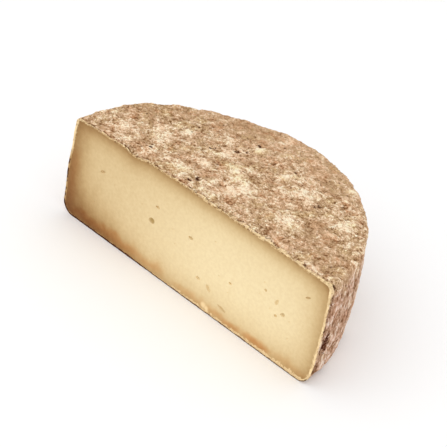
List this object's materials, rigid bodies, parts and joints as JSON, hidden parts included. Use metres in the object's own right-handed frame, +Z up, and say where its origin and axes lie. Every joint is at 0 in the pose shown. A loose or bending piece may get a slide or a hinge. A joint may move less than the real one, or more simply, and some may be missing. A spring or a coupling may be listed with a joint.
{
  "type": "half wheel of goat tomme",
  "caption": "Half wheel of aged goat tomme: pale pressed paste with small eyes on the cut face, in a thin rough mould-mottled rind, standing on its flat base.",
  "frame": {"origin": "on the surface that the base rests on, under the middle of the half wheel's box", "axes": "+Z up along the wheel's axis, +X along the cut, and the cut face looks along -Y"},
  "size_m": [0.1956, 0.1028, 0.0691],
  "materials": {
    "rind": "dry natural rind, tan and brown with cream mould, matt",
    "paste": "cut cheese paste, pale cream yellow, slightly waxy"
  },
  "bodies": {
    "root": {"half_wheel": "rind"}
  },
  "joints": []
}
